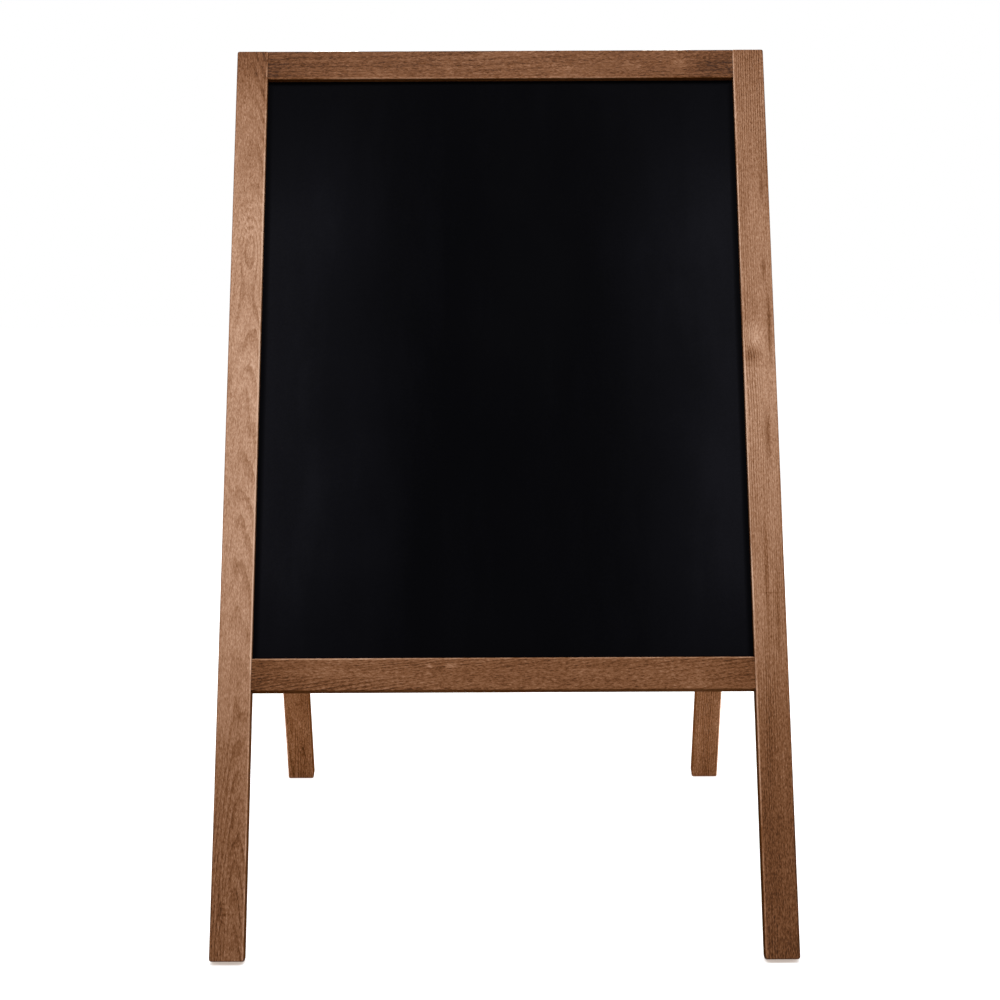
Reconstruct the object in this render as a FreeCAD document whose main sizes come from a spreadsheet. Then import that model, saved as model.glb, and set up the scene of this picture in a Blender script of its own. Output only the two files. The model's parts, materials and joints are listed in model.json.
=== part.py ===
"""A folding A-frame sandwich board: two timber frames, each holding a chalkboard in grooves, joined at the
top by two butt hinges and held open by a pair of folding steel stays.

Millimetres. +Z is up, the front frame leans towards -Y, and the origin is on the floor under the hinge axis.
Each frame is drawn hanging straight down from the hinge axis, with its back face towards +y and its outer
face towards -y. The front frame is then leaned out about the axis, and the rear frame is the same frame
turned half round and leaned the other way. The board is drawn open.
"""

import FreeCAD, Part
import os
import re
from math import cos, pi, radians, sin, tan

import Sketcher
from FreeCAD import Placement, Rotation, Vector

DIMENSIONS = {
    # the whole board
    "board_width": 600,
    "lean": 20.4,  # degrees from upright, each frame
    "half_gap": 6,  # from the hinge axis to each frame's back face
    "axis_rise": 3,  # the hinge axis above the frames' tops
    # timber
    "stile_length": 1010,
    "stile_width": 35,
    "stock_thick": 20,
    "rail_height": 34.5,
    "rail_setback": 0.5,  # each rail face behind the stile faces
    "bottom_rail_drop": 700,  # from the frame's top to the bottom rail
    "arris": 1.2,
    "corner_radius": 2.2,
    "foot_flat": 6,  # depth of the level flat on the back edge of each square-cut foot
    "foot_corner": 2.8,  # eases the two sides of each foot
    # chalkboard and its groove
    "board_thick": 4,
    "groove_depth": 8,
    "groove_slack": 0.1,  # each side of the board
    "board_slack": 1,  # at the board's top and side edges
    # dowels
    "dowel_radius": 3,
    "dowel_edge": 9,  # from the rail's outer edge to the first dowel
    "dowel_pitch": 12,
    "dowel_in_stile": 18,
    "dowel_in_rail": 20,
    "hole_slack": 1,  # at a blind hole's end
    "fit_gap": 0.05,  # round a pin, screw or dowel
    # hinges
    "hinge_span": 380,  # between the two hinges' middles
    "hinge_length": 60,
    "barrel_radius": 3,
    "hinge_plate": 1.5,
    "hinge_reach": 22,  # from the axis to the plate's edge
    "hinge_corner": 3,
    "knuckle_gap": 0.3,
    "pin_radius": 1.5,
    "pin_head_radius": 2.4,
    "pin_head": 1,
    "hinge_screw_set": 14.5,  # from the axis to the screws
    "hinge_screw_pitch": 20,
    # stays
    "stay_reach": 450,  # from the hinge axis to the stay pivots
    "stay_plane": 284,  # from the middle of the board to the plane between the two arms
    "arm_width": 10,
    "arm_thick": 2,
    "plate_gap": 0.2,  # between two plates that turn on each other
    "bracket_thick": 1.5,
    "bracket_width": 9,
    "bracket_height": 40,
    "bracket_corner": 2.5,
    "bracket_screw_set": 4.4,
    "bracket_screw_pitch": 26,
    "rivet_radius": 2,
    "rivet_head_radius": 3.6,
    "rivet_head": 1.4,
    "rivet_flare": 1.15,
    # screws
    "screw_radius": 1.75,
    "screw_head_radius": 3.1,
    "screw_tip": 3,
    "screw_hole_radius": 1.9,
    "countersink": 1.3,
    "recess_arm": 1.6,
    "recess_half_width": 0.35,
    "recess_depth": 0.9,
    "hinge_screw_length": 20,
    "bracket_screw_length": 15,
}

doc = FreeCAD.newDocument("SandwichBoard")
sheet = doc.addObject("Spreadsheet::Sheet", "Sizes")
for row, (alias, number) in enumerate(DIMENSIONS.items(), start=1):
    sheet.set(f"A{row}", alias)
    sheet.set(f"B{row}", str(number))
    sheet.setAlias(f"B{row}", alias)
doc.recompute()


def size(alias):
    """One dimension's number, as the sheet holds it."""
    return float(sheet.get(alias))


def bind(item, target, text):
    """Bind one property to an expression, in which dimensions go by their plain names."""
    words = re.sub(r"[a-z_]+", lambda word: f"Sizes.{word[0]}" if word[0] in DIMENSIONS else word[0], text)
    item.setExpression(target, words)


# Sketches and features ------------------------------------------------------------------------------------


def new_body(label, placement):
    body = doc.addObject("PartDesign::Body", label)
    body.Label = label
    body.Placement = placement
    return body


def origin_feature(body, role):
    return next(item for item in body.Origin.OriginFeatures if item.Role == role)


def new_sketch(body, name, role, offset="0"):
    """A sketch on one of the body's own origin planes, moved along the plane's normal by offset."""
    sketch = body.newObject("Sketcher::SketchObject", name)
    sketch.AttachmentSupport = [(origin_feature(body, role), "")]
    sketch.MapMode = "FlatFace"
    bind(sketch, "AttachmentOffset.Base.z", offset)
    return sketch


def fix_point(sketch, geometry, position, across, up):
    """Hold a sketch point at the place that two expressions give."""
    for kind, text in (("DistanceX", across), ("DistanceY", up)):
        index = sketch.addConstraint(Sketcher.Constraint(kind, geometry, position, 1.0))
        name = f"g{geometry}p{position}{kind[-1]}"
        sketch.renameConstraint(index, name)
        bind(sketch, f"Constraints.{name}", text)


def add_polygon(sketch, corners):
    """A closed outline of straight lines. It starts as a regular figure, and the constraints shape it."""
    first = sketch.GeometryCount
    count = len(corners)
    ring = [Vector(cos(2 * pi * i / count), sin(2 * pi * i / count), 0) for i in range(count)]
    for i in range(count):
        sketch.addGeometry(Part.LineSegment(ring[i], ring[(i + 1) % count]), False)
    for i in range(count):
        sketch.addConstraint(Sketcher.Constraint("Coincident", first + i, 2, first + (i + 1) % count, 1))
    for i, (across, up) in enumerate(corners):
        fix_point(sketch, first + i, 1, across, up)


def add_rectangle(sketch, left, low, right, high):
    add_polygon(sketch, [(left, low), (right, low), (right, high), (left, high)])


def add_circles(sketch, centres, radius):
    for across, up in centres:
        index = sketch.GeometryCount
        sketch.addGeometry(Part.Circle(Vector(index, index, 0), Vector(0, 0, 1), 1), False)
        fix_point(sketch, index, 3, across, up)
        held = sketch.addConstraint(Sketcher.Constraint("Radius", index, 1.0))
        sketch.renameConstraint(held, f"g{index}radius")
        bind(sketch, f"Constraints.g{index}radius", radius)


def add_pad(body, name, sketch, length, midplane=False):
    pad = body.newObject("PartDesign::Pad", name)
    pad.Profile = sketch
    pad.Midplane = midplane
    bind(pad, "Length", length)
    doc.recompute()
    return pad


def add_pocket(body, name, sketch, length, along_normal=False, midplane=False):
    """Cut against the sketch plane's normal, or along it, and check that something was cut."""
    before = body.Tip.Shape.Volume
    pocket = body.newObject("PartDesign::Pocket", name)
    pocket.Profile = sketch
    pocket.Reversed = along_normal
    pocket.Midplane = midplane
    bind(pocket, "Length", length)
    doc.recompute()
    assert pocket.Shape.Volume < before - 1e-6, f"{body.Label}: {name} cuts nothing"
    return pocket


def add_revolution(body, name, sketch, axis):
    revolution = body.newObject("PartDesign::Revolution", name)
    revolution.Profile = sketch
    revolution.ReferenceAxis = (sketch, [axis])
    revolution.Angle = 360
    doc.recompute()
    return revolution


def add_mirror(body, name, features):
    """Repeat features on the other side of the body's own YZ plane."""
    mirror = body.newObject("PartDesign::Mirrored", name)
    mirror.Originals = features
    mirror.MirrorPlane = (origin_feature(body, "YZ_Plane"), [""])
    body.Tip = mirror
    doc.recompute()
    return mirror


def dress_edges(body, kind, name, amount, wanted):
    """Fillet or chamfer the edges that wanted(edge) picks."""
    base = body.Tip
    picked = [f"Edge{i}" for i, edge in enumerate(base.Shape.Edges, start=1) if wanted(edge)]
    assert picked, f"{body.Label}: {name} finds no edge"
    feature = body.newObject(f"PartDesign::{kind}", name)
    feature.Base = (base, picked)
    bind(feature, "Radius" if kind == "Fillet" else "Size", amount)
    doc.recompute()
    return feature


def is_straight(edge):
    return edge.Curve.TypeId == "Part::GeomLine"


def runs_along(edge, axis):
    """True for a straight edge parallel to the given axis."""
    return is_straight(edge) and abs(abs(edge.Curve.Direction.dot(axis)) - 1) < 1e-6


def is_circle_at(edge, radius, axis, level):
    """True for a circle of the given radius that lies in the plane at this level along axis."""
    round_edge = edge.Curve.TypeId == "Part::GeomCircle"
    return (
        round_edge
        and abs(edge.Curve.Radius - radius) < 1e-6
        and abs(edge.CenterOfMass.dot(axis) - level) < 1e-6
    )


# Places ---------------------------------------------------------------------------------------------------

X, Y, Z = Vector(1, 0, 0), Vector(0, 1, 0), Vector(0, 0, 1)
LEAN = radians(size("lean"))
BACK_FACE_DROP = size("axis_rise") + size("stile_length") - size("foot_flat") * tan(LEAN)
HINGE_HEIGHT = BACK_FACE_DROP * cos(LEAN) - size("half_gap") * sin(LEAN)
LEAF_PLACES = {
    "front": Placement(Vector(0, 0, HINGE_HEIGHT), Rotation(X, -size("lean"))),
    "rear": Placement(Vector(0, 0, HINGE_HEIGHT), Rotation(X, size("lean")) * Rotation(Z, 180)),
}
INNER_FACE = "board_width / 2 - stile_width"
BACK = "-half_gap"
MIDDLE = "-(half_gap + stock_thick / 2)"
GROOVE_TOP = "-(axis_rise + rail_height - groove_depth)"
GROOVE_BOTTOM = "-(axis_rise + bottom_rail_drop + groove_depth)"
TOP_EDGE = "-axis_rise"
BOTTOM_EDGE = "-(axis_rise + bottom_rail_drop + rail_height)"
DOWEL_HEIGHTS = [
    f"{TOP_EDGE} - dowel_edge",
    f"{TOP_EDGE} - dowel_edge - dowel_pitch",
    f"{BOTTOM_EDGE} + dowel_edge",
    f"{BOTTOM_EDGE} + dowel_edge + dowel_pitch",
]
HINGE_SCREW_STEPS = ["- hinge_screw_pitch", "+ 0", "+ hinge_screw_pitch"]


def moved(x=0, y=0, z=0):
    return Placement(Vector(x, y, z), Rotation())


def turned(axis, angle):
    return Placement(Vector(), Rotation(axis, angle))


def side_name(leaf, side):
    """left or right as seen from the front, for a side of -1 or +1 in the frame's own axes."""
    seen = side if leaf == "front" else -side
    return "left" if seen < 0 else "right"


# Timber frames --------------------------------------------------------------------------------------------


def make_stile(leaf, side):
    """A full-height leg. Its foot is cut square, with a narrow level flat where it stands. Its inner face has
    the stopped groove and the dowel holes, and its back face the pilot holes for the stay's bracket."""
    body = new_body(f"{leaf}_{side_name(leaf, side)}_stile", LEAF_PLACES[leaf])
    outer_side = "-board_width / 2" if side < 0 else INNER_FACE
    section = new_sketch(body, "side_view", "YZ_Plane", outer_side)
    front = "-(half_gap + stock_thick)"
    foot = "-(axis_rise + stile_length)"
    flat = [(f"{BACK} - foot_flat", foot), (BACK, f"{foot} + foot_flat * tan(lean)")]
    add_polygon(section, [(BACK, TOP_EDGE), (front, TOP_EDGE), (front, foot), *flat])
    add_pad(body, "leg", section, "stile_width")
    outer = side * size("board_width") / 2
    top = -size("axis_rise")

    def from_corner(edge):
        """How far an edge along y lies from the stile's outer top corner."""
        return Vector(edge.CenterOfMass.x - outer, 0, edge.CenterOfMass.z - top).Length

    dress_edges(
        body,
        "Fillet",
        "top_corner",
        "corner_radius",
        lambda edge: runs_along(edge, Y) and from_corner(edge) < 1e-6,
    )

    def is_foot_side(edge):
        """An edge at the foot that runs through the thickness, along the square cut or the flat."""
        at_foot = edge.CenterOfMass.z < top - size("stile_length") / 2
        return at_foot and (runs_along(edge, Y) or runs_along(edge, Vector(0, cos(LEAN), sin(LEAN))))

    dress_edges(body, "Fillet", "foot_corners", "foot_corner", is_foot_side)
    rounded = size("corner_radius") * 1.01

    def is_arris(edge):
        """A straight edge that isn't where a rounded corner starts or ends."""
        corner_line = is_foot_side(edge) or (runs_along(edge, Y) and from_corner(edge) < rounded)
        return is_straight(edge) and not corner_line

    dress_edges(body, "Fillet", "arrises", "arris", is_arris)

    inner = f"-({INNER_FACE})" if side < 0 else INNER_FACE
    groove = new_sketch(body, "groove_outline", "YZ_Plane", inner)
    half_groove = "(board_thick / 2 + groove_slack)"
    add_rectangle(groove, f"{MIDDLE} - {half_groove}", GROOVE_BOTTOM, f"{MIDDLE} + {half_groove}", GROOVE_TOP)
    add_pocket(body, "groove", groove, "groove_depth", along_normal=side > 0)

    dowels = new_sketch(body, "dowel_hole_circles", "YZ_Plane", inner)
    add_circles(dowels, [(MIDDLE, height) for height in DOWEL_HEIGHTS], "dowel_radius + fit_gap")
    add_pocket(body, "dowel_holes", dowels, "dowel_in_stile + hole_slack", along_normal=side > 0)

    pilots = new_sketch(body, "pilot_hole_circles", "XZ_Plane", "half_gap")
    # The front stay's bracket stands outside the plane between the arms, and the rear one inside it.
    outward = "+" if leaf == "front" else "-"
    set_out = f"stay_plane {outward} (plate_gap * 1.5 + arm_thick + bracket_screw_set)"
    across = f"-({set_out})" if side < 0 else set_out
    heights = [f"-stay_reach {sign} bracket_screw_pitch / 2" for sign in "-+"]
    add_circles(pilots, [(across, height) for height in heights], "screw_radius + fit_gap")
    add_pocket(body, "pilot_holes", pilots, "bracket_screw_length", along_normal=True)
    return body


def make_rail(leaf, name, outer_edge, inward):
    """A rail between the stiles, grooved along its inner edge for the chalkboard, with dowel holes in its
    ends. The rail's height runs from outer_edge in the inward direction, "-" for the top rail."""
    body = new_body(f"{leaf}_{name}", LEAF_PLACES[leaf])
    section = new_sketch(body, "section", "YZ_Plane")
    back = f"{BACK} - rail_setback"
    front = "-(half_gap + stock_thick - rail_setback)"
    inner_edge = f"{outer_edge} {inward} rail_height"
    groove_floor = f"{inner_edge} {'+' if inward == '-' else '-'} groove_depth"
    groove_back = f"{MIDDLE} + board_thick / 2 + groove_slack"
    groove_front = f"{MIDDLE} - board_thick / 2 - groove_slack"
    add_polygon(
        section,
        [
            (back, outer_edge),
            (front, outer_edge),
            (front, inner_edge),
            (groove_front, inner_edge),
            (groove_front, groove_floor),
            (groove_back, groove_floor),
            (groove_back, inner_edge),
            (back, inner_edge),
        ],
    )
    add_pad(body, "bar", section, "board_width - 2 * stile_width", midplane=True)
    middle = -(size("half_gap") + size("stock_thick") / 2)
    to_face = size("stock_thick") / 2 - size("rail_setback")
    dress_edges(
        body,
        "Fillet",
        "arrises",
        "arris",
        lambda edge: runs_along(edge, X) and abs(abs(edge.CenterOfMass.y - middle) - to_face) < 1e-6,
    )

    end_holes = new_sketch(body, "dowel_hole_circles", "YZ_Plane", INNER_FACE)
    heights = DOWEL_HEIGHTS[:2] if inward == "-" else DOWEL_HEIGHTS[2:]
    add_circles(end_holes, [(MIDDLE, height) for height in heights], "dowel_radius + fit_gap")
    holes = add_pocket(body, "dowel_holes", end_holes, "dowel_in_rail + hole_slack")
    add_mirror(body, "dowel_holes_at_both_ends", [holes])
    return body


def drill_for_hinges(rail):
    """Pilot holes for both hinges' screws, in the top rail's upper face."""
    circles = new_sketch(rail, "hinge_pilot_circles", "XY_Plane", TOP_EDGE)
    centres = [(f"hinge_span / 2 {step}", "-hinge_screw_set") for step in HINGE_SCREW_STEPS]
    add_circles(circles, centres, "screw_radius + fit_gap")
    holes = add_pocket(rail, "hinge_pilot_holes", circles, "hinge_screw_length")
    add_mirror(rail, "hinge_pilot_holes_on_both_sides", [holes])


def make_chalkboard(leaf):
    """The black sheet. It stands on the bottom groove's floor, with slack at its other three edges."""
    body = new_body(f"{leaf}_chalkboard", LEAF_PLACES[leaf])
    outline = new_sketch(body, "outline", "XZ_Plane", "half_gap + stock_thick / 2 - board_thick / 2")
    half_width = f"({INNER_FACE} + groove_depth - board_slack)"
    add_rectangle(outline, f"-{half_width}", GROOVE_BOTTOM, half_width, f"{GROOVE_TOP} - board_slack")
    add_pad(body, "sheet", outline, "board_thick")
    return body


def make_dowels(leaf):
    """Eight dowels, two in each joint between a rail and a stile."""
    body = new_body(f"{leaf}_dowels", LEAF_PLACES[leaf])
    circles = new_sketch(body, "dowel_circles", "YZ_Plane", f"{INNER_FACE} - dowel_in_rail")
    add_circles(circles, [(MIDDLE, height) for height in DOWEL_HEIGHTS], "dowel_radius")
    pins = add_pad(body, "right_hand_dowels", circles, "dowel_in_stile + dowel_in_rail")
    add_mirror(body, "dowels_on_both_sides", [pins])
    return body


# Fasteners ------------------------------------------------------------------------------------------------


def make_screws(label, count, pitch, length, placement):
    """A row of countersunk cross-recess screws. Each points down from z = 0, and the row runs along +x."""
    body = new_body(label, placement)
    profile = new_sketch(body, "half_section", "XZ_Plane")
    taper_end = "-(screw_head_radius - screw_radius)"
    add_polygon(
        profile,
        [
            ("0", "0"),
            ("screw_head_radius", "0"),
            ("screw_radius", taper_end),
            ("screw_radius", f"-({length} - screw_tip)"),
            ("0", f"-{length}"),
        ],
    )
    blank = add_revolution(body, "blank", profile, "V_Axis")
    cross = new_sketch(body, "cross", "XY_Plane")
    arm, half = "recess_arm", "recess_half_width"
    add_polygon(
        cross,
        [
            (arm, half), (half, half), (half, arm), (f"-{half}", arm), (f"-{half}", half), (f"-{arm}", half),
            (f"-{arm}", f"-{half}"), (f"-{half}", f"-{half}"), (f"-{half}", f"-{arm}"),
            (half, f"-{arm}"), (half, f"-{half}"), (arm, f"-{half}"),
        ],
    )
    recess = add_pocket(body, "recess", cross, "recess_depth")
    row = body.newObject("PartDesign::LinearPattern", "row")
    row.Originals = [blank, recess]
    row.Direction = (origin_feature(body, "X_Axis"), [""])
    row.Occurrences = count
    bind(row, "Length", f"{pitch} * {count - 1}")
    body.Tip = row
    doc.recompute()
    return body


def make_rivet(label, grip, placement):
    """A rivet along x: flush flared end at x = 0, domed head beyond the grip."""
    body = new_body(label, placement)
    profile = new_sketch(body, "half_section", "XY_Plane")
    add_polygon(
        profile,
        [
            ("0", "0"),
            ("0", "rivet_radius + rivet_flare"),
            ("rivet_flare", "rivet_radius"),
            (grip, "rivet_radius"),
            (grip, "rivet_head_radius"),
            (f"{grip} + rivet_head", "rivet_head_radius"),
            (f"{grip} + rivet_head", "0"),
        ],
    )
    blank = add_revolution(body, "blank", profile, "H_Axis")
    crown = blank.Shape.BoundBox.XMax
    dress_edges(
        body,
        "Fillet",
        "dome",
        "rivet_head * 0.9",
        lambda edge: is_circle_at(edge, size("rivet_head_radius"), X, crown),
    )
    return body


# Hinges ---------------------------------------------------------------------------------------------------


def make_hinge_leaf(leaf, side):
    """Half of a butt hinge: a plate on the top rail and its share of five knuckles. The front leaf has the
    first, third and fifth knuckles, the rear leaf the second and fourth."""
    placement = LEAF_PLACES[leaf] * moved(x=side * size("hinge_span") / 2)
    body = new_body(f"hinge_{side_name(leaf, side)}_{leaf}_leaf", placement)
    outline = new_sketch(body, "plate_outline", "XY_Plane", "-barrel_radius")
    add_rectangle(outline, "-hinge_length / 2", "-hinge_reach", "hinge_length / 2", "0")
    add_pad(body, "plate", outline, "hinge_plate")
    reach = size("hinge_reach")
    dress_edges(
        body,
        "Fillet",
        "plate_corners",
        "hinge_corner",
        lambda edge: runs_along(edge, Z) and abs(edge.CenterOfMass.y + reach) < 1e-6,
    )
    circle = new_sketch(body, "barrel_circle", "YZ_Plane")
    add_circles(circle, [("0", "0")], "barrel_radius")
    add_pad(body, "barrel", circle, "hinge_length", midplane=True)

    gaps = new_sketch(body, "knuckle_gaps", "XY_Plane")
    knuckle = "hinge_length / 5"
    reach_past_barrel = "(barrel_radius + knuckle_gap)"
    if leaf == "front":
        spans = [(f"-1.5 * {knuckle}", f"-0.5 * {knuckle}"), (f"0.5 * {knuckle}", f"1.5 * {knuckle}")]
    else:
        spans = [
            (f"-2.5 * {knuckle} - 1", f"-1.5 * {knuckle}"),
            (f"-0.5 * {knuckle}", f"0.5 * {knuckle}"),
            (f"1.5 * {knuckle}", f"2.5 * {knuckle} + 1"),
        ]
    for low, high in spans:
        start = f"{low} - knuckle_gap / 2"
        end = f"{high} + knuckle_gap / 2"
        add_rectangle(gaps, start, f"-{reach_past_barrel}", end, reach_past_barrel)
    add_pocket(body, "gaps", gaps, "barrel_radius * 4", midplane=True)

    bore = new_sketch(body, "bore_circle", "YZ_Plane")
    add_circles(bore, [("0", "0")], "pin_radius + fit_gap")
    add_pocket(body, "bore", bore, "hinge_length * 2", midplane=True)

    screw_holes = new_sketch(body, "screw_hole_circles", "XY_Plane", "hinge_plate - barrel_radius")
    add_circles(screw_holes, [(step, "-hinge_screw_set") for step in HINGE_SCREW_STEPS], "screw_hole_radius")
    add_pocket(body, "screw_holes", screw_holes, "hinge_plate")
    face = size("hinge_plate") - size("barrel_radius")
    dress_edges(
        body,
        "Chamfer",
        "countersinks",
        "countersink",
        lambda edge: is_circle_at(edge, size("screw_hole_radius"), Z, face),
    )
    return body


def make_hinge_pin(side):
    placement = LEAF_PLACES["front"] * moved(x=side * size("hinge_span") / 2)
    body = new_body(f"hinge_{side_name('front', side)}_pin", placement)
    profile = new_sketch(body, "half_section", "XY_Plane")
    end = "hinge_length / 2"
    add_polygon(
        profile,
        [
            (f"-({end} + pin_head)", "0"),
            (f"-({end} + pin_head)", "pin_head_radius"),
            (f"-{end}", "pin_head_radius"),
            (f"-{end}", "pin_radius"),
            (end, "pin_radius"),
            (end, "pin_head_radius"),
            (f"{end} + pin_head", "pin_head_radius"),
            (f"{end} + pin_head", "0"),
        ],
    )
    blank = add_revolution(body, "blank", profile, "H_Axis")
    crown = blank.Shape.BoundBox.XMax
    dress_edges(
        body,
        "Fillet",
        "domed_ends",
        "pin_head * 0.8",
        lambda edge: any(is_circle_at(edge, size("pin_head_radius"), X, sign * crown) for sign in (-1, 1)),
    )
    return body


# Stays ----------------------------------------------------------------------------------------------------


def bracket_place(leaf, side):
    """The stay pivot on the ear's inner face, with +x towards the flange."""
    outward = 1 if leaf == "front" else -1
    ear_face = size("stay_plane") + outward * (size("plate_gap") * 1.5 + size("arm_thick"))
    flip = Placement() if side * outward > 0 else turned(Y, 180)
    return LEAF_PLACES[leaf] * moved(x=side * ear_face, z=-size("stay_reach")) * flip


def make_bracket(leaf, side):
    """An angle bracket on a stile's back face, with an ear that carries the stay's pivot."""
    body = new_body(f"stay_{side_name(leaf, side)}_{leaf}_bracket", bracket_place(leaf, side))
    flange = new_sketch(body, "flange_outline", "XZ_Plane", "half_gap - bracket_thick")
    add_rectangle(flange, "0", "-bracket_height / 2", "bracket_width", "bracket_height / 2")
    add_pad(body, "flange", flange, "bracket_thick")
    dress_edges(
        body,
        "Fillet",
        "flange_corners",
        "bracket_corner",
        lambda edge: runs_along(edge, Y) and abs(edge.CenterOfMass.x - size("bracket_width")) < 1e-6,
    )
    ear = new_sketch(body, "ear_outline", "YZ_Plane")
    add_rectangle(ear, BACK, "-arm_width / 2", "0", "arm_width / 2")
    add_pad(body, "ear", ear, "bracket_thick")
    ear_end = new_sketch(body, "ear_end_circle", "YZ_Plane")
    add_circles(ear_end, [("0", "0")], "arm_width / 2")
    add_pad(body, "ear_end", ear_end, "bracket_thick")

    pivot = new_sketch(body, "pivot_circle", "YZ_Plane")
    add_circles(pivot, [("0", "0")], "rivet_radius + fit_gap")
    add_pocket(body, "pivot_hole", pivot, "bracket_thick * 4", midplane=True)
    screw_holes = new_sketch(body, "screw_hole_circles", "XZ_Plane", "half_gap - bracket_thick")
    heights = ["-bracket_screw_pitch / 2", "bracket_screw_pitch / 2"]
    add_circles(screw_holes, [("bracket_screw_set", height) for height in heights], "screw_hole_radius")
    add_pocket(body, "screw_holes", screw_holes, "bracket_thick", along_normal=True)
    face = size("bracket_thick") - size("half_gap")
    dress_edges(
        body,
        "Chamfer",
        "countersinks",
        "countersink",
        lambda edge: is_circle_at(edge, size("screw_hole_radius"), Y, face),
    )
    return body


def arm_place(leaf, side):
    """The stay pivot on the arm's face towards the other arm, with +x away from it and +y to the elbow.
    The arms lie level and in line while the board is open."""
    outward = 1 if leaf == "front" else -1
    pivot = LEAF_PLACES[leaf].multVec(Vector(0, 0, -size("stay_reach")))
    seen = side if leaf == "front" else -side
    face = seen * (size("stay_plane") + outward * size("plate_gap") / 2)
    flip = {
        (1, 1): Placement(),
        (1, -1): turned(Y, 180),
        (-1, 1): turned(Z, 180),
        (-1, -1): turned(X, 180),
    }[outward, seen]
    return moved(face, pivot.y, pivot.z) * flip


def make_arm(leaf, side):
    """One flat link of a stay, with a countersunk rivet hole at each end."""
    body = new_body(f"stay_{side_name(leaf, side)}_{leaf}_arm", arm_place(leaf, side))
    elbow = "stay_reach * sin(lean)"
    link = new_sketch(body, "link_outline", "YZ_Plane")
    add_rectangle(link, "0", "-arm_width / 2", elbow, "arm_width / 2")
    add_pad(body, "link", link, "arm_thick")
    for name, centre in (("pivot_end", "0"), ("elbow_end", elbow)):
        circle = new_sketch(body, f"{name}_circle", "YZ_Plane")
        add_circles(circle, [(centre, "0")], "arm_width / 2")
        add_pad(body, name, circle, "arm_thick")
    holes = new_sketch(body, "rivet_hole_circles", "YZ_Plane")
    add_circles(holes, [("0", "0"), (elbow, "0")], "rivet_radius + fit_gap")
    add_pocket(body, "rivet_holes", holes, "arm_thick * 4", midplane=True)
    radius = size("rivet_radius") + size("fit_gap")
    dress_edges(
        body,
        "Chamfer",
        "countersinks",
        "rivet_flare + fit_gap",
        lambda edge: is_circle_at(edge, radius, X, 0),
    )
    return body


# The assembly ---------------------------------------------------------------------------------------------


def make_frame(leaf):
    pieces = [make_stile(leaf, side) for side in (-1, 1)]
    top_rail = make_rail(leaf, "top_rail", TOP_EDGE, "-")
    drill_for_hinges(top_rail)
    bottom_rail = make_rail(leaf, "bottom_rail", BOTTOM_EDGE, "+")
    return [*pieces, top_rail, bottom_rail, make_chalkboard(leaf), make_dowels(leaf)]


def make_hinge_half(leaf, side):
    """A hinge leaf and the three screws that hold it down."""
    first_screw = moved(
        x=side * size("hinge_span") / 2 - size("hinge_screw_pitch"),
        y=-size("hinge_screw_set"),
        z=size("hinge_plate") - size("axis_rise"),
    )
    label = f"hinge_{side_name(leaf, side)}_{leaf}_screws"
    place = LEAF_PLACES[leaf] * first_screw
    screws = make_screws(label, 3, "hinge_screw_pitch", "hinge_screw_length", place)
    return [make_hinge_leaf(leaf, side), screws]


def make_stay_half(leaf, side):
    """A bracket with its two screws, the pivot rivet, and the arm with its half of the elbow."""
    name = f"stay_{side_name(leaf, side)}_{leaf}"
    first_screw = moved(
        x=size("bracket_screw_set"),
        y=size("bracket_thick") - size("half_gap"),
        z=size("bracket_screw_pitch") / 2,
    )
    point_outward = Placement(Vector(), Rotation(X, -90) * Rotation(Z, 90))
    place = bracket_place(leaf, side) * first_screw * point_outward
    arm = arm_place(leaf, side)
    elbow = arm * moved(y=size("stay_reach") * sin(LEAN))
    return [
        make_bracket(leaf, side),
        make_screws(f"{name}_screws", 2, "bracket_screw_pitch", "bracket_screw_length", place),
        make_arm(leaf, side),
        make_rivet(f"{name}_pivot_rivet", "arm_thick + plate_gap + bracket_thick", arm),
        make_rivet(f"{name}_elbow_rivet", "arm_thick", elbow),
    ]


parts = []
for leaf in ("front", "rear"):
    parts += make_frame(leaf)
    for side in (-1, 1):
        parts += make_hinge_half(leaf, side)
        parts += make_stay_half(leaf, side)
parts += [make_hinge_pin(side) for side in (-1, 1)]

doc.recompute()
for item in doc.Objects:
    assert not {"Invalid", "Error"} & set(item.State), f"{item.Label} failed: {item.State}"
os.makedirs("parts", exist_ok=True)
for part in parts:
    assert not part.Shape.isNull() and part.Shape.isValid(), f"{part.Label} has no valid shape"
    part.Shape.exportStep(f"parts/{part.Label}.step")
print(f"{len(parts)} nodes, {sum(len(part.Shape.Solids) for part in parts)} solids")
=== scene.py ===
"""Looks for the A-frame sandwich board: stained timber, black chalkboards, zinc-plated hinges and stays.

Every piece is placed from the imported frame. Each frame of the board is handled in its own axes: the hinge
axis is the origin, x runs across the board, -y points out of the frame's face and -z runs down to the feet.
"""

import json
from math import pi, radians

import bmesh
import bpy
import numpy as np
from mathutils import Matrix, Vector, noise


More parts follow.
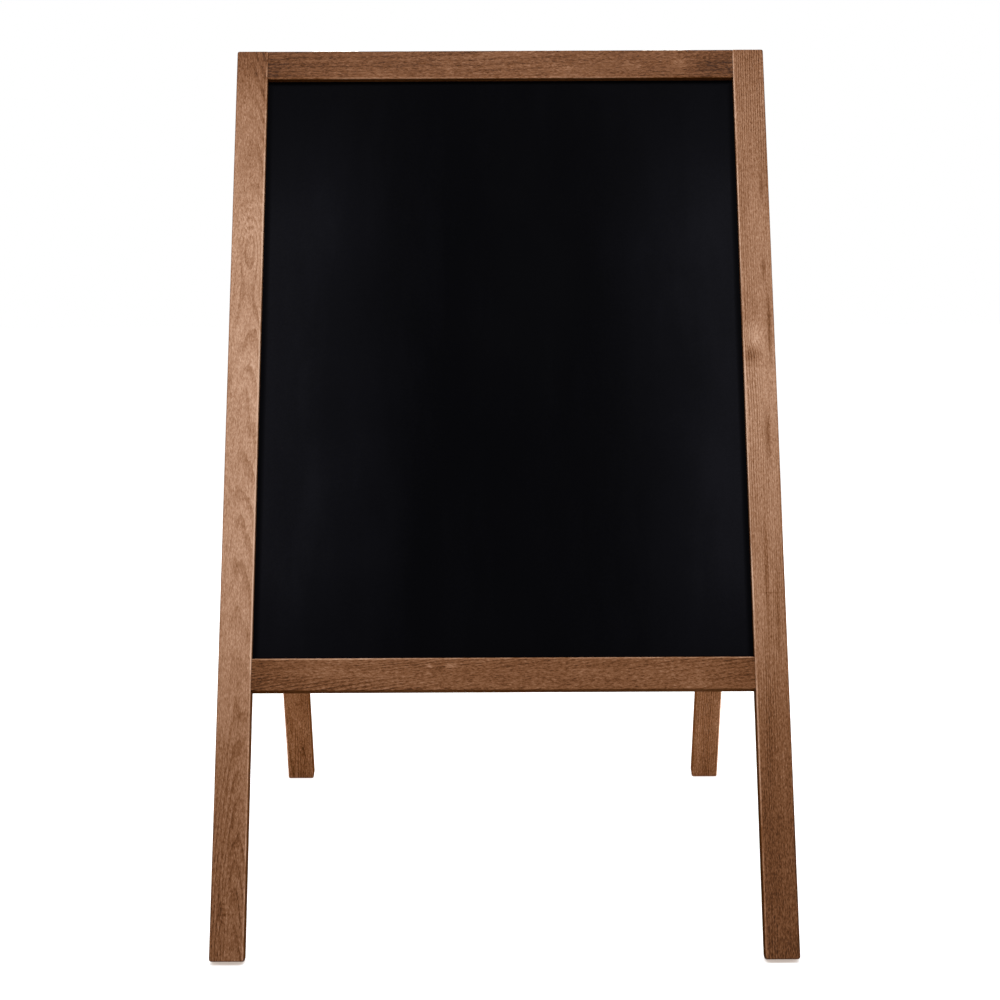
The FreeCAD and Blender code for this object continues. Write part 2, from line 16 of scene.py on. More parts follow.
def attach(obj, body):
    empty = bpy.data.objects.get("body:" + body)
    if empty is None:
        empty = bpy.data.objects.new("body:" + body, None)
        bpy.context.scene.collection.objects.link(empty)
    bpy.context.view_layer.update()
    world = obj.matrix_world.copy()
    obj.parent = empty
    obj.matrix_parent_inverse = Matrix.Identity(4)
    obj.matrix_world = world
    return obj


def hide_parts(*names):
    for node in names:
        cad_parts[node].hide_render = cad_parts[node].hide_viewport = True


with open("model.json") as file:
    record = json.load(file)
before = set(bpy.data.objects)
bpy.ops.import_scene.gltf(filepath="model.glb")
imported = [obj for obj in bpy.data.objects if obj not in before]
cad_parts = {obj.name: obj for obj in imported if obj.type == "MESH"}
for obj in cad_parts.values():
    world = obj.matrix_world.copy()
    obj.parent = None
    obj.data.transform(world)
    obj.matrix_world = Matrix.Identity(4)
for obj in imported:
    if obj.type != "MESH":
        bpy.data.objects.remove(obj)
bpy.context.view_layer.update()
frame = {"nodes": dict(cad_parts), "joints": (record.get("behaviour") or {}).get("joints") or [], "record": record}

MM = 0.001

# Each leaf leans out by half of the whole fold.
fold = next(joint for joint in frame["joints"] if joint["name"] == "fold")
HINGE = Vector(fold["pos_m"])
LEAN = radians(fold["range_deg"][1]) / 2
LEAVES = {
    "front": Matrix.Translation(HINGE) @ Matrix.Rotation(-LEAN, 4, "X"),
    "rear": Matrix.Translation(HINGE) @ Matrix.Rotation(LEAN, 4, "X") @ Matrix.Rotation(pi, 4, "Z"),
}


def leaf_box(node, leaf):
    """The lowest and highest corner of a CAD node in its leaf's own axes."""
    to_leaf = np.array(LEAVES[leaf].inverted())
    places = np.array([vert.co for vert in frame["nodes"][node].data.vertices])
    places = places @ to_leaf[:3, :3].T + to_leaf[:3, 3]
    return places.min(0), places.max(0)


# Camera and studio ----------------------------------------------------------------------------------------

CAMERA_PLACE = Vector((-0.004, -2.2215, 0.684))
CAMERA_DIP = radians(6.48)
CAMERA_TURN = radians(-0.04)
CAMERA_ROLL = radians(-0.245)
CAMERA_LENS = 67.82

# Each softbox: its place, what it faces, its width and height, and its power in watts.
SOFTBOXES = {
    "front_key": ((0.0, -1.7, 2.8), (0, -0.15, 0.55), 1.6, 0.8, 58),
    "front_low": ((0.0, -3.2, 0.75), (0, 0, 0.45), 2.4, 0.6, 29),
    "rear_key": ((0.0, 1.7, 2.8), (0, 0.15, 0.55), 1.6, 0.8, 58),
    "rear_low": ((0.0, 3.2, 0.75), (0, 0, 0.45), 2.4, 0.6, 29),
    "left_side": ((-2.6, 0.0, 0.6), (0, 0, 0.5), 0.5, 0.9, 36),
    "right_side": ((2.6, 0.0, 0.6), (0, 0, 0.5), 0.5, 0.9, 36),
}
FILL = 0.12

FLOOR_HALF_WIDTH = 30.0
FLOOR_GREY = 0.45
# The floor's glow takes this tint, a painted contact shadow, where a foot covers it, and fades to white
# where nothing is within reach of it.
CONTACT_SHADOW_TINT = (0.48, 0.40, 0.35)
CONTACT_REACH = 6 * MM


def make_camera():
    camera = bpy.data.objects.new("camera", bpy.data.cameras.new("camera"))
    camera.data.lens = CAMERA_LENS
    camera.data.sensor_width = 36
    level = Matrix.Rotation(CAMERA_TURN, 4, "Z") @ Matrix.Rotation(pi / 2 - CAMERA_DIP, 4, "X")
    camera.matrix_world = Matrix.Translation(CAMERA_PLACE) @ level @ Matrix.Rotation(CAMERA_ROLL, 4, "Z")
    bpy.context.scene.collection.objects.link(camera)
    bpy.context.scene.camera = camera


def softbox(name, place, target, width, height, power):
    """A rectangular area light that faces its target."""
    lamp = bpy.data.lights.new(name, "AREA")
    lamp.shape = "RECTANGLE"
    lamp.size = width
    lamp.size_y = height
    lamp.energy = power
    holder = bpy.data.objects.new(name, lamp)
    holder.location = place
    holder.rotation_euler = (Vector(target) - Vector(place)).to_track_quat("-Z", "Y").to_euler()
    bpy.context.scene.collection.objects.link(holder)


def make_studio():
    """A white room to the eye, with dim fill light, so that the softboxes model the timber."""
    world = bpy.data.worlds.new("studio")
    world.use_nodes = True
    tree = world.node_tree
    tree.nodes.clear()
    white = tree.nodes.new("ShaderNodeBackground")
    white.inputs["Color"].default_value = (1, 1, 1, 1)
    fill = tree.nodes.new("ShaderNodeBackground")
    fill.inputs["Color"].default_value = (1, 1, 1, 1)
    fill.inputs["Strength"].default_value = FILL
    path = tree.nodes.new("ShaderNodeLightPath")
    mix = tree.nodes.new("ShaderNodeMixShader")
    out = tree.nodes.new("ShaderNodeOutputWorld")
    tree.links.new(path.outputs["Is Camera Ray"], mix.inputs["Fac"])
    tree.links.new(fill.outputs["Background"], mix.inputs[1])
    tree.links.new(white.outputs["Background"], mix.inputs[2])
    tree.links.new(mix.outputs["Shader"], out.inputs["Surface"])
    bpy.context.scene.world = world
    bpy.context.scene.view_settings.view_transform = "Standard"
    for name, facts in SOFTBOXES.items():
        softbox(name, *facts)


def make_floor():
    """A pale sweep under the board. To the eye it glows as white as the room. Where a foot stands on it or
    almost touches it, its glow takes a dim, warm painted contact shadow."""
    half = FLOOR_HALF_WIDTH
    corners = [(-half, -half, 0), (half, -half, 0), (half, half, 0), (-half, half, 0)]
    mesh = bpy.data.meshes.new("floor")
    mesh.from_pydata(corners, [], [(0, 1, 2, 3)])
    floor = bpy.data.objects.new("floor", mesh)
    bpy.context.scene.collection.objects.link(floor)

    s = Shader("pale_sweep")
    s.tree.nodes.remove(s.surface)
    closeness = s.tree.nodes.new("ShaderNodeAmbientOcclusion")
    closeness.inputs["Distance"].default_value = CONTACT_REACH
    openness = s.remap(closeness.outputs["AO"], 0.2, 0.9, smooth=False)
    matt = s.tree.nodes.new("ShaderNodeBsdfDiffuse")
    matt.inputs["Color"].default_value = (FLOOR_GREY, FLOOR_GREY, FLOOR_GREY, 1)
    glow = s.tree.nodes.new("ShaderNodeEmission")
    # The painted contact shadow: the glow darkens and warms where the feet shut out the room.
    s.put(glow.inputs["Color"], s.blend(openness, CONTACT_SHADOW_TINT, (1, 1, 1)))
    lit = s.tree.nodes.new("ShaderNodeAddShader")
    path = s.tree.nodes.new("ShaderNodeLightPath")
    mix = s.tree.nodes.new("ShaderNodeMixShader")
    s.put(lit.inputs[0], matt.outputs[0])
    s.put(lit.inputs[1], glow.outputs[0])
    s.put(mix.inputs["Fac"], path.outputs["Is Camera Ray"])
    s.put(mix.inputs[1], matt.outputs[0])
    s.put(mix.inputs[2], lit.outputs[0])
    s.put(s.tree.nodes["Material Output"].inputs["Surface"], mix.outputs[0])
    mesh.materials.append(s.material)


# Shader building ------------------------------------------------------------------------------------------


class Shader:
    """A material's node tree, with one method for each kind of node that the materials below share."""

    def __init__(self, name):
        self.material = bpy.data.materials.new(name)
        self.material.use_nodes = True
        self.tree = self.material.node_tree
        self.surface = self.tree.nodes["Principled BSDF"]

    def put(self, socket, value):
        """Link a socket, or set it to a constant."""
        if isinstance(value, bpy.types.NodeSocket):
            self.tree.links.new(value, socket)
        else:
            socket.default_value = value

    def coordinates(self):
        return self.tree.nodes.new("ShaderNodeTexCoord").outputs["Object"]

    def attribute(self, name, output):
        node = self.tree.nodes.new("ShaderNodeAttribute")
        node.attribute_name = name
        return node.outputs[output]

    def math(self, operation, a, b=0.0, c=0.0, clamp=False):
        node = self.tree.nodes.new("ShaderNodeMath")
        node.operation = operation
        node.use_clamp = clamp
        for socket, value in zip(node.inputs, (a, b, c)):
            self.put(socket, value)
        return node.outputs[0]

    def split(self, vector):
        node = self.tree.nodes.new("ShaderNodeSeparateXYZ")
        self.put(node.inputs[0], vector)
        return node.outputs

    def join(self, x, y, z):
        node = self.tree.nodes.new("ShaderNodeCombineXYZ")
        for socket, value in zip(node.inputs, (x, y, z)):
            self.put(socket, value)
        return node.outputs[0]

    def scaled(self, vector, scale, shift=(0, 0, 0)):
        node = self.tree.nodes.new("ShaderNodeMapping")
        self.put(node.inputs["Vector"], vector)
        node.inputs["Scale"].default_value = scale
        node.inputs["Location"].default_value = shift
        return node.outputs[0]

    def noise(self, vector, detail=2.0, roughness=0.5, scale=1.0):
        node = self.tree.nodes.new("ShaderNodeTexNoise")
        self.put(node.inputs["Vector"], vector)
        node.inputs["Scale"].default_value = scale
        node.inputs["Detail"].default_value = detail
        node.inputs["Roughness"].default_value = roughness
        return node.outputs["Fac"]

    def remap(self, value, low, high, to_low=0.0, to_high=1.0, smooth=True):
        node = self.tree.nodes.new("ShaderNodeMapRange")
        node.interpolation_type = "SMOOTHSTEP" if smooth else "LINEAR"
        names = ("Value", "From Min", "From Max", "To Min", "To Max")
        for name, item in zip(names, (value, low, high, to_low, to_high)):
            self.put(node.inputs[name], item)
        return node.outputs["Result"]

    def blend(self, factor, a, b):
        node = self.tree.nodes.new("ShaderNodeMix")
        node.data_type = "RGBA"
        self.put(node.inputs["Factor"], factor)
        for socket, value in ((node.inputs[6], a), (node.inputs[7], b)):
            self.put(socket, value if isinstance(value, bpy.types.NodeSocket) else (*value, 1))
        return node.outputs[2]

    def ramp(self, value, stops):
        """A colour or grey that follows the value through (place, colour or grey) stops."""
        node = self.tree.nodes.new("ShaderNodeValToRGB")
        self.put(node.inputs["Fac"], value)
        elements = node.color_ramp.elements
        while len(elements) < len(stops):
            elements.new(0.5)
        for element, (place, colour) in zip(elements, stops):
            element.position = place
            element.color = (*colour, 1) if isinstance(colour, tuple) else (colour, colour, colour, 1)
        return node.outputs["Color"]

    def sum(self, *values):
        total = values[0]
        for value in values[1:]:
            total = self.math("ADD", total, value)
        return total

    def swing(self, value, amount):
        """A noise value, 0 to 1, turned into a swing of this much each way about 0."""
        return self.math("MULTIPLY_ADD", value, 2 * amount, -amount)

    def bump(self, height, strength, distance, normal=None):
        node = self.tree.nodes.new("ShaderNodeBump")
        node.inputs["Strength"].default_value = strength
        node.inputs["Distance"].default_value = distance
        self.put(node.inputs["Height"], height)
        if normal is not None:
            self.put(node.inputs["Normal"], normal)
        return node.outputs[0]

    def finish(self, **sockets):
        """Set the surface's sockets, given by their names with underscores for spaces."""
        for name, value in sockets.items():
            if isinstance(value, tuple) and len(value) == 3:
                value = (*value, 1)
            self.put(self.surface.inputs[name.replace("_", " ")], value)
        return self.material


# Timber ---------------------------------------------------------------------------------------------------


def paint(red, green, blue):
    """A colour given as it shows on a screen, 0 to 255, as linear light."""
    shown = [channel / 255 for channel in (red, green, blue)]
    return tuple(((c + 0.055) / 1.055) ** 2.4 if c > 0.04 else c / 12.92 for c in shown)


# The stain from its deepest to its palest.
STAIN = (
    (0.00, paint(50, 25, 8)),
    (0.12, paint(73, 40, 14)),
    (0.25, paint(101, 60, 30)),
    (0.42, paint(127, 84, 54)),
    (0.66, paint(160, 118, 90)),
    (0.87, paint(188, 147, 120)),
    (1.00, paint(206, 168, 142)),
)


def wood_material(name, seed, size, tone, pith, tilt, ring, inner, marks=(), sway=22, figure=0.10,
                  rub_and_highlight=0.42, shade_and_stain_depth=0.45, painted_light_gain=1):
    """Stained timber. The growth rings are cylinders about a pith that runs past the board, so faces, edges
    and ends show one solid figure. Everything adds to or takes from one value, how pale the stain shows,
    painted light included.

    size is the board's length, width and thickness; tone gives how pale the stain shows at places along it,
    from 0 at its start to 1 at its end, and carries painted light: on the stiles a painted sheen about their
    middles and painted shade towards their feet; pith is the pith's place across and behind the board at its
    middle; tilt is how far it drifts in a metre; ring is one ring's width; sway is how far the rings wander;
    inner is the sign, across the board, of the side with the paler arrises. Each mark, a knot or a streak, is
    its place along and across, its length and width, how far it pushes the rings aside, how much darker it
    makes its far end than its near end, and how much it darkens the whole. figure is how dark the rings are,
    rub_and_highlight how much paler the inner arrises are, from wear and a painted highlight, and
    shade_and_stain_depth how much darker the side faces and outer arrises are with painted shade and the ends
    with stain. painted_light_gain brightens every colour, as painted light. All lengths are in millimetres.
    """
    s = Shader(name)
    board = s.attribute("board", "Vector")
    along, across, depth = s.split(board)
    shift = (seed * 3.1, seed * 5.7, seed * 1.9)

    wander = s.swing(s.noise(s.scaled(board, (1.8, 12, 12), shift), detail=2), sway / 2 * MM)
    ripple = s.swing(s.noise(s.scaled(board, (14, 70, 70), shift), detail=2), 1.6 * MM)
    push = s.sum(wander, ripple)
    shade = 0.0
    for mark_along, mark_across, mark_length, mark_width, mark_push, slope, dark in marks:
        a = s.math("MULTIPLY_ADD", along, 1 / (mark_length * MM), -mark_along / mark_length)
        c = s.math("MULTIPLY_ADD", across, 1 / (mark_width * MM), -mark_across / mark_width)
        off_mark = s.sum(s.math("MULTIPLY", a, a), s.math("MULTIPLY", c, c))
        near = s.math("EXPONENT", s.math("MULTIPLY", off_mark, -1.0))
        push = s.math("MULTIPLY_ADD", near, mark_push * MM, push)
        shade = s.math("MULTIPLY_ADD", near, s.math("MULTIPLY_ADD", a, -slope, -dark), shade)
    x = s.math("ADD", s.math("MULTIPLY_ADD", along, tilt[0] * MM, across), -pith[0] * MM)
    y = s.math("ADD", s.math("MULTIPLY_ADD", along, tilt[1] * MM, depth), -pith[1] * MM)
    radius = s.math("SQRT", s.sum(s.math("MULTIPLY", x, x), s.math("MULTIPLY", y, y)))
    radius = s.math("ADD", radius, push)
    uneven = s.noise(s.join(radius, seed * 2.3, 0.0), detail=1, scale=110)
    rings = s.math("MULTIPLY_ADD", radius, 1 / (ring * MM), s.math("MULTIPLY", uneven, 1.8))
    # The latewood darkens through each ring and stops short at its end.
    phase = s.math("FRACT", rings)
    late = s.math("MULTIPLY", s.remap(phase, 0.35, 0.85), s.remap(phase, 1.0, 0.92))
    ring_strength = s.remap(s.noise(s.scaled(board, (4, 40, 40), shift), detail=1), 0.36, 0.62, 0.15, 1.0)
    late = s.math("MULTIPLY", late, ring_strength)

    # The cells are pushed aside with the rings. Dashes, threads, pores and flecks are short marks along the
    # grain, and fibres and streaks are long ones.
    cells = s.join(along, s.math("ADD", across, push), depth)
    dash = s.noise(s.scaled(cells, (260, 760, 760), shift), detail=3, roughness=0.65)
    fibre = s.noise(s.scaled(cells, (22, 620, 620), shift), detail=2, roughness=0.6)
    streak = s.noise(s.scaled(cells, (5, 150, 150), shift), detail=2)
    thread = s.noise(s.scaled(cells, (330, 1500, 1500), shift), detail=2, roughness=0.7)
    pore = s.remap(s.noise(s.scaled(cells, (110, 1100, 1100), shift), detail=1), 0.60, 0.72)
    fleck = s.remap(s.noise(s.scaled(cells, (75, 260, 260), shift), detail=1), 0.70, 0.78)
    blotch = s.noise(s.scaled(board, (8, 26, 26), shift), detail=3)

    length, width, thick = size
    place = s.math("MULTIPLY_ADD", along, 1 / (length * MM), 0.5)
    place = s.math("ADD", place, s.swing(s.noise(s.scaled(board, (5, 60, 60), shift), detail=2), 0.035))
    off_end = s.math("SUBTRACT", length / 2 * MM, s.math("ABSOLUTE", along))
    off_side = s.math("SUBTRACT", width / 2 * MM, s.math("ABSOLUTE", across))
    off_face = s.math("SUBTRACT", thick / 2 * MM, s.math("ABSOLUTE", depth))
    # The arrises on the inner side are paler, partly from wear and partly a painted highlight where they
    # catch the light. The side faces and the outer arrises are darkened with painted shade, and the ends with
    # stain, which draws dark joint lines.
    inward = s.remap(s.math("MULTIPLY", across, inner), 0, 1 * MM)
    outward = s.math("SUBTRACT", 1.0, inward)
    side_face = s.math("MAXIMUM", outward, s.remap(off_face, 0.7 * MM, 1.3 * MM))
    # Painted shade on the side faces and on the outer arrises.
    painted_side_shade = s.math("MULTIPLY", s.remap(off_side, 1.3 * MM, 0.3 * MM), side_face)
    side_shade_and_end_stain = s.math("MAXIMUM", painted_side_shade, s.remap(off_end, 1.3 * MM, 0.5 * MM, 0.0, 0.4))
    off_arris = s.math("MAXIMUM", off_side, off_face)
    patchy = s.remap(s.noise(s.scaled(board, (9, 9, 9), shift), detail=3), 0.36, 0.60, 0.35, 1.0)
    # Wear along the inner arrises, with a painted highlight where they catch the light.
    wear_and_highlight = s.math("MULTIPLY", s.math("MULTIPLY", s.remap(off_arris, 2.1 * MM, 1.0 * MM), inward), patchy)

    # The tone along a bar is its stain with painted light in it: on the stiles, a painted sheen about the middle
    # and painted shade towards the feet.
    pale = s.sum(
        s.ramp(place, tone),
        shade,
        s.swing(dash, 0.40),
        s.swing(fibre, 0.09),
        s.swing(streak, 0.06),
        s.swing(thread, 0.30),
        s.swing(blotch, 0.12),
        s.math("MULTIPLY", late, -figure),
        s.math("MULTIPLY", pore, -0.10),
        s.math("MULTIPLY", fleck, 0.10),
        s.math("MULTIPLY", wear_and_highlight, rub_and_highlight),
    )
    # The side faces darken here with painted shade, and the ends with stain.
    pale = s.math("MULTIPLY", pale, s.math("MULTIPLY_ADD", side_shade_and_end_stain, -shade_and_stain_depth, 1.0))
    height = s.sum(
        s.math("MULTIPLY", dash, 0.6),
        s.math("MULTIPLY", fibre, 0.4),
        s.math("MULTIPLY", thread, 0.3),
        s.math("MULTIPLY", pore, -0.6),
        s.math("MULTIPLY", late, 0.25),
    )
    rough = s.sum(
        s.remap(thread, 0.3, 0.7, 0.60, 0.46),
        s.math("MULTIPLY", pore, 0.15),
        s.math("MULTIPLY", wear_and_highlight, -0.12),
    )
    return s.finish(
        # The gain brightens the whole colour, as painted light.
        Base_Color=s.ramp(pale, [(stop, tuple(painted_light_gain * c for c in colour)) for stop, colour in STAIN]),
        Roughness=rough,
        Specular_IOR_Level=s.remap(off_side, 0.2 * MM, 1.2 * MM, 0.0, 0.09),
        Normal=s.bump(height, 0.5, 0.0003),
    )


# The mesh is cut into cells of about this size before it is worn and made uneven.
CELL = 5 * MM
FEATURE_ANGLE = radians(35)
ARRIS_REACH = 1.6 * MM
UNEVENNESS = 0.06 * MM
NICK = 0.9 * MM


def cut_into_cells(bm, axis, low, high, cell):
    """Cut every face where evenly spaced planes along one axis cross it."""
    count = max(1, round((high - low) / cell))
    normal = Vector((0, 0, 0))
    normal[axis] = 1
    for i in range(1, count):
        place = Vector((0, 0, 0))
        place[axis] = low + (high - low) * i / count
        everything = bm.verts[:] + bm.edges[:] + bm.faces[:]
        bmesh.ops.bisect_plane(bm, geom=everything, plane_co=place, plane_no=normal, dist=1e-6)


def arris_amount(at, low, high, reach):
    """1 on the four long arrises of a bar, falling to 0 at this reach from them, for points at (y, z)."""
    off_y = np.minimum(at[:, 0] - low[0], high[0] - at[:, 0])
    off_z = np.minimum(at[:, 1] - low[1], high[1] - at[:, 1])
    return np.clip(1 - np.hypot(off_y, off_z) / reach, 0, 1)


def smooth_noise(points, scale, seed):
    """Noise at each point, about -1 to 1. scale says how many cells a metre has along each axis."""
    offset = Vector((seed * 7.3, seed * 2.9, seed * 4.1))
    return np.array([noise.noise(Vector(p) + offset) for p in points * np.array(scale)])


def timber(node, leaf, along, seed, **facts):
    """A finished bar that stands for a CAD one: the same solid, cut into cells, with nicked arrises and the
    slight unevenness of planed timber. along is the axis of the grain, in the leaf's axes."""
    bm = bmesh.new()
    bm.from_mesh(frame["nodes"][node].data)
    bmesh.ops.remove_doubles(bm, verts=bm.verts, dist=1e-6)
    bmesh.ops.transform(bm, matrix=LEAVES[leaf].inverted(), verts=bm.verts)
    bmesh.ops.dissolve_limit(bm, angle_limit=radians(0.2), verts=bm.verts, edges=bm.edges)
    places = np.array([vert.co for vert in bm.verts])
    low, high = places.min(0), places.max(0)
    for axis in range(3):
        cut_into_cells(bm, axis, low[axis], high[axis], CELL)
    bm.normal_update()
    mesh = bpy.data.meshes.new(f"{node}_timber")
    bm.to_mesh(mesh)
    bm.free()

    places = np.array([vert.co for vert in mesh.vertices])
    normals = np.array([vert.normal for vert in mesh.vertices])
    order = [2, 0, 1] if along == 2 else [0, 2, 1]  # along the grain, across it, through the thickness
    board = (places - (low + high) / 2)[:, order]
    board[:, 0] *= -1 if along == 2 else 1  # from a stile's top down, and from a rail's left to its right
    arris = arris_amount(places[:, order[1:]], low[order[1:]], high[order[1:]], ARRIS_REACH)
    wave = smooth_noise(board, (9, 30, 30), seed) * UNEVENNESS
    nibble = np.clip(smooth_noise(board, (70, 25, 25), seed + 3) - 0.25, 0, 1) * NICK
    places = places + normals * (wave * (1 - arris) - nibble * arris)[:, None]
    mesh.vertices.foreach_set("co", places.astype(np.float32).ravel())
    layer = mesh.attributes.new("board", "FLOAT_VECTOR", "POINT")
    layer.data.foreach_set("vector", board.astype(np.float32).ravel())
    mesh.transform(LEAVES[leaf])
    mesh.materials.clear()
    mesh.materials.append(wood_material(f"{node}_wood", seed, tuple((high - low)[order] / MM), **facts))
    mesh.shade_smooth()
    mesh.set_sharp_from_angle(angle=FEATURE_ANGLE)
    bar = bpy.data.objects.new(f"{node}_timber", mesh)
    bpy.context.scene.collection.objects.link(bar)
    weighted = bar.modifiers.new("face_weighted_normals", "WEIGHTED_NORMAL")
    weighted.keep_sharp = True
    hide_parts(node)
    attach(bar, f"{leaf}_frame")


# What differs from bar to bar. wood_material says what each value means.
BARS = {
    "left_stile": dict(
        along=2, pith=(5, 30), tilt=(-8, 56), ring=2.2, inner=1, figure=0.17,
        tone=((0, 0.33), (0.03, 0.42), (0.07, 0.61), (0.16, 0.70), (0.24, 0.84), (0.32, 0.81), (0.50, 0.79),
              (0.58, 0.79), (0.64, 0.71), (0.74, 0.61), (0.86, 0.49), (1, 0.41)),
        marks=(
            (-270, 4, 40, 12, -7, 0.10, 0.0),
            (-112, -15, 16, 2.5, 0, 0.0, 0.14),
            (455, -6, 14, 3, 3, 0.0, 0.10),
        ),
    ),
    "right_stile": dict(
        along=2, pith=(-70, 16), tilt=(5, -10), ring=2.4, inner=-1, sway=14, figure=0.26,
        tone=((0, 0.50), (0.08, 0.62), (0.15, 0.56), (0.22, 0.62), (0.30, 0.64), (0.38, 0.76), (0.60, 0.62),
              (0.68, 0.59), (0.76, 0.39), (0.86, 0.26), (1, 0.28)),
        marks=(
            (-160, -4, 14, 9, 5, 0.0, -0.22),
            (-138, -10, 9, 8, 0, 0.0, 0.26),
            (-172, 12, 34, 1.8, 0, 0.0, 0.34),
            (-335, 9, 16, 2, 0, 0.0, 0.22),
            (-240, 8, 12, 2, 0, 0.0, 0.26),
            (-49, 6, 24, 3, 4, 0.0, 0.26),
            (108, -2, 60, 2.2, 0, 0.0, 0.20),
            (127, 2, 0.8, 11, 0, 0.0, 0.15),
            (150, 9, 50, 1.6, 0, 0.0, 0.14),
        ),
    ),
    "top_rail": dict(
        along=0, pith=(34, 40), tilt=(12, -30), ring=3.2, inner=-1, figure=0.09, rub_and_highlight=0.20, shade_and_stain_depth=0.60,
        tone=((0, 0.26), (0.10, 0.32), (0.25, 0.31), (0.36, 0.31), (0.57, 0.36), (0.68, 0.37), (0.80, 0.29),
              (0.90, 0.28), (1, 0.27)),
        marks=(
            (-58, -2, 6, 9, 0, 0.0, -0.07),
            (75, -6, 7, 4, 2, 0.0, -0.12),
            (153, -5, 8, 5, 2, 0.0, -0.10),
            (204, 0, 9, 9, 4, 0.0, -0.16),
            (242, 0, 24, 12, 0, 0.0, 0.09),
        ),
    ),
    "bottom_rail": dict(
        along=0, pith=(-60, 30), tilt=(-120, 16), ring=3.0, inner=1, figure=0.18, shade_and_stain_depth=0.20,
        tone=((0, 0.22), (0.12, 0.37), (0.27, 0.41), (0.36, 0.37), (0.62, 0.39), (0.76, 0.37), (0.88, 0.43),
              (1, 0.28)),
        marks=((-78, 9, 3, 1.6, 0, 0.0, -0.30), (-55, 9, 5, 1.8, 0, 0.0, -0.30)),
    ),
}

# The rear stiles carry painted light: a brighter, more even colour, which hardly darkens towards the feet,
# makes up for the shade of the front frame they stand in. They are named as seen from the front, and the
# rear frame is turned half round, so it is their outer arrises that carry the wear and painted highlight.
REAR_PAINTED_LIGHT_GAIN = 1.9
REAR_TONES = {
    "left_stile": ((0, 0.36), (0.30, 0.43), (0.80, 0.38), (0.88, 0.36), (0.93, 0.42), (1, 0.39)),
    "right_stile": ((0, 0.36), (0.30, 0.43), (0.80, 0.42), (0.88, 0.46), (0.94, 0.42), (1, 0.38)),
}


def make_timber():
    for turn, leaf in enumerate(LEAVES):
        for number, (name, facts) in enumerate(BARS.items()):
            # Painted light on the rear stiles: a brighter, flatter tone.
            if leaf == "rear" and name in REAR_TONES:
                facts = {**facts, "tone": REAR_TONES[name], "painted_light_gain": REAR_PAINTED_LIGHT_GAIN}
            timber(f"{leaf}_{name}", leaf, seed=1 + number + 10 * turn, **facts)


# Chalkboards ----------------------------------------------------------------------------------------------


BOARD_BLACK = paint(2, 2, 4)


def chalk_dust_and_sheen(s, at, cloud, grain):
    """The colour of a used board, in its leaf's axes. Chalk dust lies in wipes and grain. A painted sheen, a
    bluish lightening towards the sides, stands in for the side lights' reflection, and a painted shadow of
    the frame keeps the paint black along the frame's edges."""
    across, _, up = s.split(at)
    half_width = leaf_box("front_right_stile", "front")[0][0]
    top = leaf_box("front_top_rail", "front")[0][2]
    bottom = leaf_box("front_bottom_rail", "front")[1][2]
    off_side = s.math("SUBTRACT", half_width, s.math("ABSOLUTE", across))
    off_top = s.math("SUBTRACT", top, up)
    off_bottom = s.math("SUBTRACT", up, bottom)
    edge = s.math("MINIMUM", s.math("MINIMUM", off_side, off_top), s.math("MULTIPLY", off_bottom, 3.0))
    # Painted shadow of the frame: along the top and sides, and a third as wide along the bottom, the paint stays
    # black.
    clear_of_frame_shadow = s.remap(edge, 2.5 * MM, 8 * MM)

    wipe = s.noise(s.scaled(at, (26, 26, 5)), detail=3)
    # Painted sheen, lighter towards the sides and fainter near the top and bottom.
    side = s.remap(s.math("ADD", s.math("ABSOLUTE", across), s.swing(cloud, 0.08)), 0.06, 0.25)
    below_top = s.remap(off_top, 0.0, 0.20, 0.35, 1.0)
    above_bottom = s.remap(off_bottom, 0.0, 0.12, 0.7, 1.0)
    dust_and_sheen = s.sum(
        s.math("MULTIPLY", s.math("MULTIPLY", side, s.math("MULTIPLY", below_top, above_bottom)), 0.70),
        s.math("MULTIPLY", s.remap(wipe, 0.4, 0.7), 0.10),
        s.swing(grain, 0.22),
        s.swing(cloud, 0.10),
        -0.04,
    )
    dust_and_sheen = s.math("MULTIPLY", dust_and_sheen, clear_of_frame_shadow)
    # From black paint to the palest chalk dust and painted sheen.
    return s.ramp(dust_and_sheen, ((0.0, BOARD_BLACK), (0.5, paint(10, 10, 14)), (1.0, paint(24, 24, 29))))


def chalkboard_material(leaf):
    """Matt black board paint. The front board has chalk dust, a painted sheen towards its sides and a painted
    shadow along its frame, and the rear one is clean.
    """
    s = Shader(f"{leaf}_chalkboard_black")
    to_leaf = LEAVES[leaf].inverted()
    place = s.tree.nodes.new("ShaderNodeMapping")
    s.put(place.inputs["Vector"], s.coordinates())
    place.inputs["Location"].default_value = to_leaf.to_translation()
    place.inputs["Rotation"].default_value = to_leaf.to_euler()
    at = place.outputs[0]
    cloud = s.noise(s.scaled(at, (5, 5, 3.5)), detail=4, roughness=0.55)
    grain = s.noise(s.scaled(at, (700, 700, 700)), detail=3, roughness=0.7)
    return s.finish(
        Base_Color=chalk_dust_and_sheen(s, at, cloud, grain) if leaf == "front" else BOARD_BLACK,
        Roughness=s.remap(cloud, 0.3, 0.7, 0.60, 0.70),
        Specular_IOR_Level=0.02,
        Normal=s.bump(grain, 0.3, 0.0001),
    )


# Metal ----------------------------------------------------------------------------------------------------


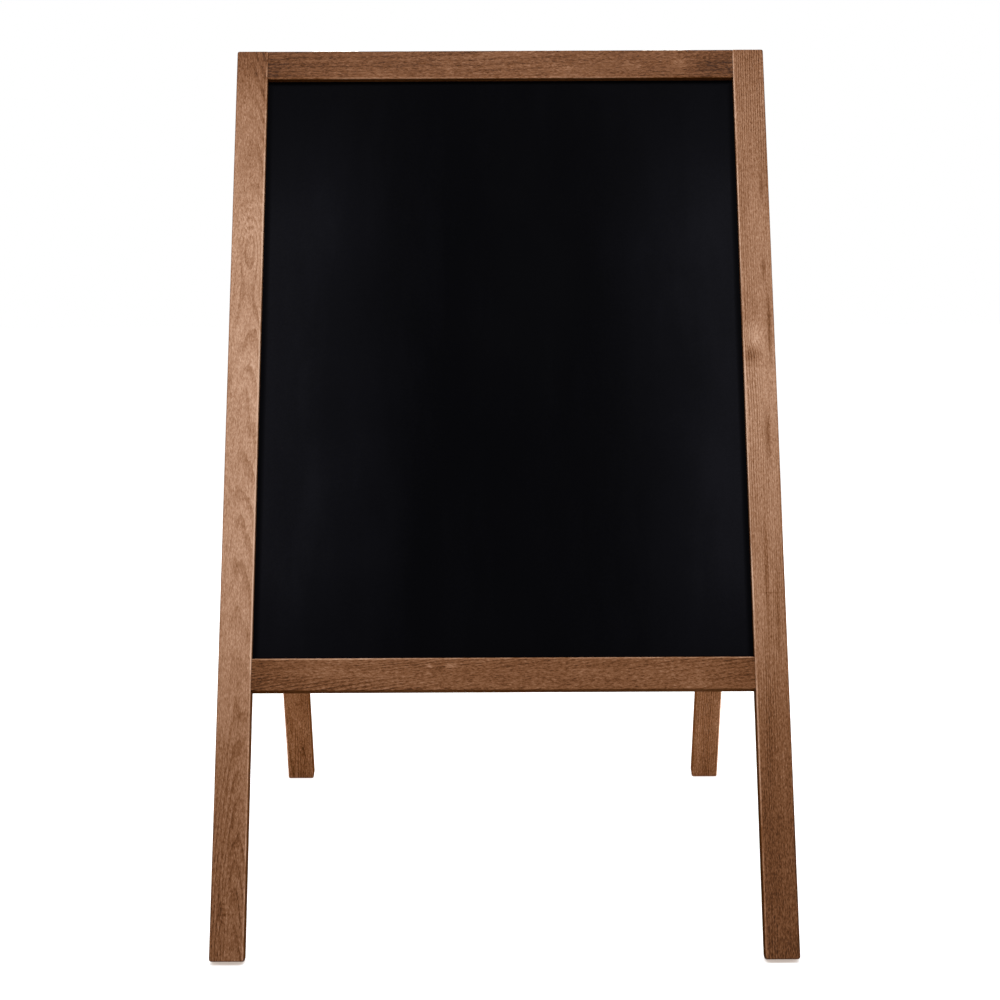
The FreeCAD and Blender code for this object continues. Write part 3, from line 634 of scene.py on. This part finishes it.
# Each kind of steel piece: its colour, its darker cloud colour, its roughness, and how fine its grain is
# along each axis.
METALS = {
    "hinge": ((0.56, 0.54, 0.49), (0.46, 0.44, 0.40), 0.38, (60, 900, 900)),
    "stay": ((0.62, 0.62, 0.61), (0.44, 0.44, 0.44), 0.30, (900, 60, 900)),
    "screw": ((0.70, 0.69, 0.66), (0.50, 0.49, 0.46), 0.28, (700, 700, 700)),
}


def zinc_material(name, colour, dark, roughness, brush):
    """Zinc-plated steel: a soft brushed grain, cloudy plating and a little dulling."""
    s = Shader(name)
    at = s.coordinates()
    grain = s.noise(s.scaled(at, brush), detail=3, roughness=0.6)
    cloud = s.noise(s.scaled(at, (120, 120, 120)), detail=4, roughness=0.6)
    speck = s.remap(s.noise(s.scaled(at, (900, 900, 900)), detail=2), 0.62, 0.75)
    tint = s.blend(s.remap(cloud, 0.35, 0.7), colour, dark)
    tint = s.blend(s.math("MULTIPLY", speck, 0.2), tint, tuple(c * 0.5 for c in dark))
    rough = s.math("ADD", s.remap(grain, 0.3, 0.7, roughness - 0.07, roughness + 0.09),
                   s.math("MULTIPLY", speck, 0.2), clamp=True)
    return s.finish(Base_Color=tint, Metallic=1.0, Roughness=rough, Normal=s.bump(grain, 0.25, 0.00008))


def dowel_material():
    s = Shader("dowel_beech")
    at = s.coordinates()
    fibre = s.noise(s.scaled(at, (40, 900, 900)), detail=3)
    fleck = s.remap(s.noise(s.scaled(at, (300, 1500, 1500)), detail=1), 0.6, 0.7)
    colour = s.blend(s.remap(fibre, 0.3, 0.7), (0.62, 0.42, 0.25), (0.48, 0.30, 0.16))
    colour = s.blend(s.math("MULTIPLY", fleck, 0.6), colour, (0.30, 0.17, 0.08))
    return s.finish(Base_Color=colour, Roughness=0.7, Normal=s.bump(fibre, 0.4, 0.0002))


def dress(node, material):
    mesh = frame["nodes"][node].data
    mesh.materials.clear()
    mesh.materials.append(material)


def dress_slot(slot, material):
    """Give every CAD node of one slot this material."""
    for part in frame["record"]["subparts"]:
        if part["material_slot"] == slot:
            dress(part["node"], material)


make_camera()
make_studio()
make_floor()
make_timber()
for leaf in LEAVES:
    dress(f"{leaf}_chalkboard", chalkboard_material(leaf))
for metal, facts in METALS.items():
    dress_slot(f"{metal}_steel", zinc_material(f"{metal}_zinc", *facts))
dress_slot("beech_dowel", dowel_material())
